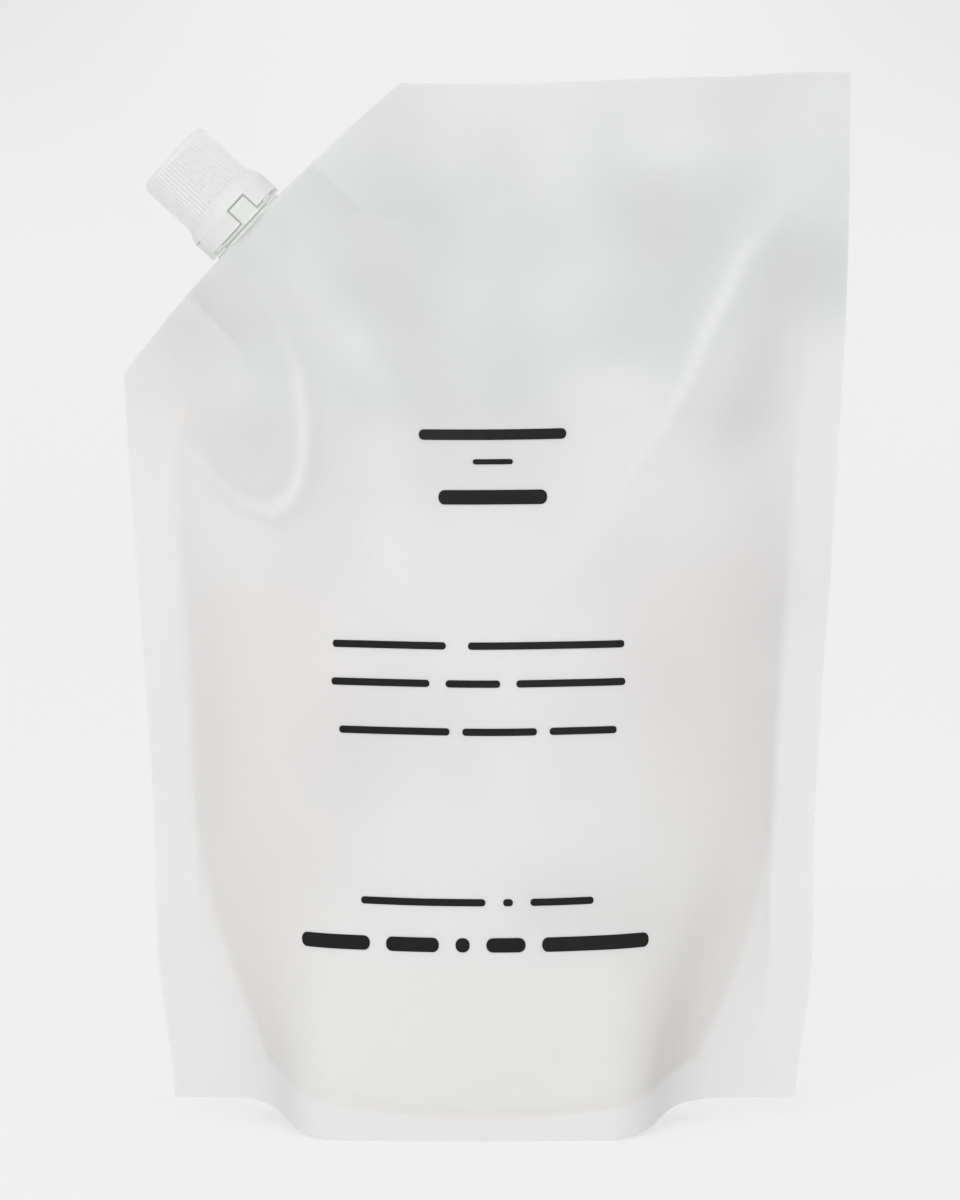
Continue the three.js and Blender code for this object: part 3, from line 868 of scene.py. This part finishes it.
# How much of what stands behind it the film hides, and how much more a weld hides.
FILM_HIDES = 0.64
WELD_HIDES = 0.14

# Heights, and at the sides distances from the middle, in metres, over which a tint comes or goes. The
# edge of the empty part bows up towards the sides, and clouds make it uneven.
EMPTY_FROM = (0.13, 0.17)
EMPTY_BOW = 6
SOAP_TO = (0.112, 0.145)
PAINTED_LIGHT_TO = (0.0, 0.1)
TOP_FROM = (0.185, 0.215)
FOOT_TO = (0.03, 0.075)
SIDES_FROM = (0.005, 0.045)
CLOUD_SHIFT = 0.02

# The clouds and patches are noise, with the range of it that goes from none to all.
CLOUD_SCALE = 30.0
CLOUD_RANGE = (0.3, 0.7)
CLOUD_LEAST = 0.4
PATCH_SCALE = 24.0
PATCH_RANGE = (0.42, 0.68)

# The share of each tint. Warmth needs some soap, but deep soap looks plain, and so does the middle.
PATCH_SHARE = 0.55
SHADE_SHARE = 0.8
GLEAM_SHARE = 0.7
TOP_FADE = 0.6
# The painted light near the foot is this much fainter on the welds.
PAINTED_LIGHT_WELD_FADE = 0.5
SOME_SOAP = 5
DEEP_SOAP = 1.4
MIDDLE_WARMTH = 0.3


def film_material():
    material, shader, start = new_material("frosted_film", Roughness=0.42, IOR=1.45)
    place, (across, _, up) = object_place(start)
    masks = start.node("ShaderNodeAttribute", {"attribute_name": "masks"})
    split = start.node("ShaderNodeSeparateColor", Color=Socket(start.tree, masks.outputs["Color"]))
    weld, soap, shaded = [Socket(start.tree, split.outputs[i]) for i in range(3)]
    gleaming = Socket(start.tree, masks.outputs["Alpha"])

    cloud = noise(start, place, CLOUD_SCALE).rise(*CLOUD_RANGE)
    cloudy = CLOUD_LEAST + cloud * (1 - CLOUD_LEAST)
    patch = noise(start, place, PATCH_SCALE).rise(*PATCH_RANGE)
    # Where the pouch is empty, the film is tinted greyer: partly the bare webs, partly painted shade
    # inside.
    empty = (up - across * across * EMPTY_BOW + cloud * CLOUD_SHIFT).rise(*EMPTY_FROM)
    empty = empty * cloudy * (1 - up.rise(*TOP_FROM) * TOP_FADE)
    thin_soap = (soap * SOME_SOAP).at_most(1.0) * (1 - soap * soap * DEEP_SOAP).at_least(0.0)
    around = across.absolute().rise(*SIDES_FROM).at_least(1 - up.rise(*FOOT_TO))
    warm = (1 - (up + cloud * CLOUD_SHIFT).rise(*SOAP_TO)) * thin_soap * cloudy
    warm = warm * (MIDDLE_WARMTH + around * (1 - MIDDLE_WARMTH))

    colour = plain_colour(start, FILM_CLEAR).tint(patch * PATCH_SHARE, FILM_PATCH)
    colour = colour.tint(weld, FILM_WELD)
    # Painted light: the film is made lighter towards the foot, and less so on the welds.
    colour = colour.tint((1 - up.rise(*PAINTED_LIGHT_TO)) * (1 - weld * PAINTED_LIGHT_WELD_FADE), FILM_PAINTED_LIGHT)
    colour = colour.tint(empty, FILM_COOL_AND_SHADED).tint(warm, FILM_WARM)
    colour = colour.tint(shaded * SHADE_SHARE, FILM_SHADE).tint(gleaming * GLEAM_SHARE, FILM_GLEAM)
    start.feed(shader.inputs["Base Color"], colour)
    start.feed(shader.inputs["Alpha"], FILM_HIDES + weld * WELD_HIDES)
    return material


film = film_material()
dress(front, "pack", "film", film, "front_panel")
dress(back, "pack", "film", film, "back_panel")
dress(gusset, "pack", "film", film, "bottom_gusset")

# %% [markdown]
# Hand soap of this kind is pearly, with slow streaks from its filling. Only its warmth comes through
# the milky film, so a plain satin shader with one swirling noise is enough, and true scattering isn't
# needed.

# %% Pearly soap
SOAP_PALE = srgb(240, 238, 234)
SOAP_DARK = srgb(231, 225, 217)
SWIRL_SCALE = 14.0


def soap_material():
    material, shader, start = new_material("pearly_soap", Roughness=0.35)
    place, _ = object_place(start)
    swirl = noise(start, place, SWIRL_SCALE, detail=2.0, Distortion=0.8)
    start.feed(shader.inputs["Base Color"], plain_colour(start, SOAP_PALE).tint(swirl, SOAP_DARK))
    return material


dress(soap, "pack", "soap", soap_material(), "soap_fill")

# %% [markdown]
# ## Spout, band and cap
#
# These are rigid mouldings whose solids are already right, so the solids stay and only get their
# plastic: white satin polypropylene for the cap and its band, and natural polyethylene for the spout.
# Light spreads inside such plastic, so even its slits look pale. A little scatter stands for that,
# with a painted glow: the plastic gives off faint light in its own colour, which pales slits and shade.

# %% Moulded plastic
# The plastic's painted glow: the share of its own colour that it gives off as light.
PAINTED_GLOW = 0.28
SCATTER = 0.4
SCATTER_DEPTH = 0.003
MOTTLE_SCALE = 90.0
MOTTLE = 0.5
MOTTLE_ROUGHNESS = 0.1
SATIN = 0.45
SMOOTH = 0.38
CAP_WHITE = srgb(200, 200, 200)
CAP_DARK = srgb(196, 197, 196)
BAND_WHITE = srgb(197, 200, 196)
BAND_DARK = srgb(192, 196, 191)
SPOUT_NATURAL = srgb(198, 200, 197)
SPOUT_DARK = srgb(190, 193, 189)


def plastic(name, pale, dark, roughness):
    material, shader, start = new_material(
        name,
        Subsurface_Weight=SCATTER,
        Subsurface_Scale=SCATTER_DEPTH,
        Subsurface_Radius=(1.0, 1.0, 1.0),
        Emission_Strength=PAINTED_GLOW,
    )
    place, _ = object_place(start)
    cloud = noise(start, place, MOTTLE_SCALE)
    colour = plain_colour(start, pale).tint(cloud * MOTTLE, dark)
    start.feed(shader.inputs["Base Color"], colour)
    # Painted glow: the same colour is given off as faint light.
    start.feed(shader.inputs["Emission Color"], colour)
    start.feed(shader.inputs["Roughness"], cloud * MOTTLE_ROUGHNESS + roughness)
    return material


def paint_node(name, material):
    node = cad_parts[name]
    node.data.materials.clear()
    node.data.materials.append(material)
    print(name, "is", material.name)


paint_node("cap", plastic("cap_plastic", CAP_WHITE, CAP_DARK, SATIN))
paint_node("tamper_band", plastic("band_plastic", BAND_WHITE, BAND_DARK, SATIN))
paint_node("spout", plastic("spout_plastic", SPOUT_NATURAL, SPOUT_DARK, SMOOTH))

# %% [markdown]
# ## Print
#
# The front carries rows of black print. Words aren't drawn here: each one is a plain bar of the same
# place, width and weight. A picture on the film would blur close up. So each bar is a thin skin of
# ink that follows the film's curve, and a Bevel rounds its ends.

# %% Rows of plain bars
INK_LIFT = 0.06
INK_GAUGE = 0.03
BAR_STEP = 1.2
BAR_ROUND = 0.45
LIGHT = 1.5
BOLD = 3.0

# Each row has its centre, its height on the film, its weight, its words' widths and the gap between them.
PRINT_ROWS = [
    (1.6, 145.7, 2.2, [30.2], 0),
    (1.7, 140.1, 1.1, [8.2], 0),
    (1.7, 132.8, BOLD, [22.2], 0),
    (-1.3, 102.5, LIGHT, [23.6, 32.2], 4.5),
    (-1.3, 94.8, LIGHT, [20.5, 11.1, 22.6], 3.3),
    (-1.4, 85.0, LIGHT, [23.0, 15.2, 14.0], 2.6),
    (-1.5, 50.2, LIGHT, [25.7, 2.0, 13.1], 3.6),
    (-2.0, 41.4, BOLD, [15.0, 10.9, 2.9, 8.0, 22.8], 3.4),
]


def ink_bar(grid, left, right, middle, weight):
    """A bar with round ends, on the flat film, in millimetres."""
    columns = max(2, int((right - left) / BAR_STEP))
    verts = bmesh.ops.create_grid(grid, x_segments=columns, y_segments=2, size=0.5)["verts"]
    for vertex in verts:
        vertex.co.x = (left + right) / 2 + vertex.co.x * (right - left)
        vertex.co.y = middle + vertex.co.y * weight
    corners = [v for v in verts if len(v.link_edges) == 2]
    bmesh.ops.bevel(
        grid,
        geom=corners,
        offset=weight * BAR_ROUND,
        segments=4,
        profile=0.5,
        affect="VERTICES",
        material=-1,
    )


def build_print(rows):
    grid = bmesh.new()
    for centre, middle, weight, words, gap in rows:
        left = centre - (sum(words) + gap * (len(words) - 1)) / 2
        for word in words:
            ink_bar(grid, left, left + word, middle, weight)
            left += word + gap
    flat = np.array([vertex.co[:2] for vertex in grid.verts])
    X, Z = flat[:, 0], flat[:, 1]
    x, z = in_space(X, Z)
    depth = bulge(X, Z) + front_extra(X, Z) + FILM + INK_LIFT
    place_vertices(grid, x, -depth, z)
    bmesh.ops.recalc_face_normals(grid, faces=grid.faces)
    ink = link_mesh("print", grid)
    thicken(ink, INK_GAUGE, away(ink, -1))
    return ink


ink = build_print(PRINT_ROWS)
print("the print has", sum(len(words) for _, _, _, words, _ in PRINT_ROWS), "bars")

# %% Black ink
INK_BLACK = srgb(14, 14, 16)
INK_WORN = srgb(30, 30, 32)
WEAR_SCALE = 400.0
WEAR = 0.5


def ink_material():
    material, shader, start = new_material("black_ink", Roughness=0.5, Specular_IOR_Level=0.2)
    place, _ = object_place(start)
    wear = noise(start, place, WEAR_SCALE)
    start.feed(shader.inputs["Base Color"], plain_colour(start, INK_BLACK).tint(wear * WEAR, INK_WORN))
    return material


dress(ink, "pack", "film", ink_material())

# %% [markdown]
# ## Studio
#
# A pale sweep runs from the floor up behind the pack. More light on it would bleach the pack too, so
# the camera sees the sweep mostly in its own pale tone. That tone carries painted shade: it is made a
# little darker towards the upper corners. The rest is its real shading, so the soft shadow stays.

# %% Floor and backdrop
SWEEP_FRONT = -1.6
SWEEP_BACK = 1.2
SWEEP_RADIUS = 0.6
SWEEP_HALF_LENGTH = 2.2
SWEEP_HALF_WIDTH = 3
SWEEP_ROWS = 60


def build_sweep():
    grid = bmesh.new()
    bmesh.ops.create_grid(grid, x_segments=1, y_segments=SWEEP_ROWS, size=1)
    for vertex in grid.verts:
        along = (vertex.co.y + 1) * SWEEP_HALF_LENGTH + SWEEP_FRONT
        bend = min(max(along - SWEEP_BACK, 0) / SWEEP_RADIUS, math.pi / 2)
        beyond = max(along - SWEEP_BACK - SWEEP_RADIUS * math.pi / 2, 0)
        depth = min(along, SWEEP_BACK) + SWEEP_RADIUS * math.sin(bend)
        height = SWEEP_RADIUS * (1 - math.cos(bend)) + beyond
        vertex.co = Vector((vertex.co.x * SWEEP_HALF_WIDTH, depth, height))
    return link_mesh("sweep", grid)


sweep = build_sweep()
smooth(sweep)
print("the sweep is", round(sweep.dimensions.z, 1), "m high")

# %% Tone of the backdrop
SWEEP_PALE = srgb(242, 242, 242)
# The darker tone is painted shade, for the upper corners.
SWEEP_PAINTED_SHADE = srgb(230, 230, 230)
SWEEP_SHADED = srgb(239, 239, 239)
OWN_TONE = 0.82
PAINTED_SHADE_ASIDE = (0.08, 0.3)
PAINTED_SHADE_ABOVE = (0.1, 0.3)


def sweep_material():
    material, shader, start = new_material("pale_sweep", Roughness=0.8)
    shader.inputs["Base Color"].default_value = SWEEP_SHADED
    path = start.node("ShaderNodeLightPath")
    camera_ray, glossy, through = [
        Socket(start.tree, path.outputs[name])
        for name in ("Is Camera Ray", "Is Glossy Ray", "Is Transmission Ray")
    ]
    seen = camera_ray.at_least(glossy).at_least(through)
    _, (across, _, up) = object_place(start)
    # Painted shade: the backdrop's own tone is made darker towards the upper corners.
    corner = across.absolute().rise(*PAINTED_SHADE_ASIDE) * up.rise(*PAINTED_SHADE_ABOVE)
    tone = plain_colour(start, SWEEP_PALE).tint(corner, SWEEP_PAINTED_SHADE)
    own = start.node("ShaderNodeEmission", Color=tone, Strength=1.0)
    mixed = start.node("ShaderNodeMixShader", Fac=seen * OWN_TONE)
    start.tree.links.new(shader.outputs[0], mixed.inputs[1])
    start.tree.links.new(own.outputs[0], mixed.inputs[2])
    start.tree.links.new(mixed.outputs[0], start.tree.nodes["Material Output"].inputs["Surface"])
    return material


sweep.data.materials.append(sweep_material())
print("the camera sees", OWN_TONE, "of the backdrop in its own tone")

# %% [markdown]
# The photograph has the flat light of a white tent: no hard shadow, and soft gleams on the film. An
# even white sky gives most of it. One small lamp from the upper left and a wide one low in front add
# the gleams.

# %% Sky and lamps
SKY = srgb(251, 251, 251)
SKY_STRENGTH = 0.87
LAMP_WATTS = 5
AIM = Vector((0, 0, 0.1))


def add_lamp(name, place, size):
    data = bpy.data.lights.new(name, "AREA")
    data.shape = "DISK"
    data.size = size
    data.energy = LAMP_WATTS
    lamp = bpy.data.objects.new(name, data)
    lamp.location = place
    lamp.rotation_euler = (AIM - Vector(place)).to_track_quat("-Z", "Y").to_euler()
    bpy.context.scene.collection.objects.link(lamp)
    print("the", name, "lamp shines from", place)


world = bpy.data.worlds.new("studio")
bpy.context.scene.world = world
world.use_nodes = True
sky = world.node_tree.nodes["Background"]
sky.inputs["Color"].default_value = SKY
sky.inputs["Strength"].default_value = SKY_STRENGTH
add_lamp("key", place=(-0.6, -1.2, 1.1), size=0.5)
add_lamp("front", place=(0.4, -1.6, 0.15), size=1.2)
bpy.context.scene.view_settings.view_transform = "Standard"
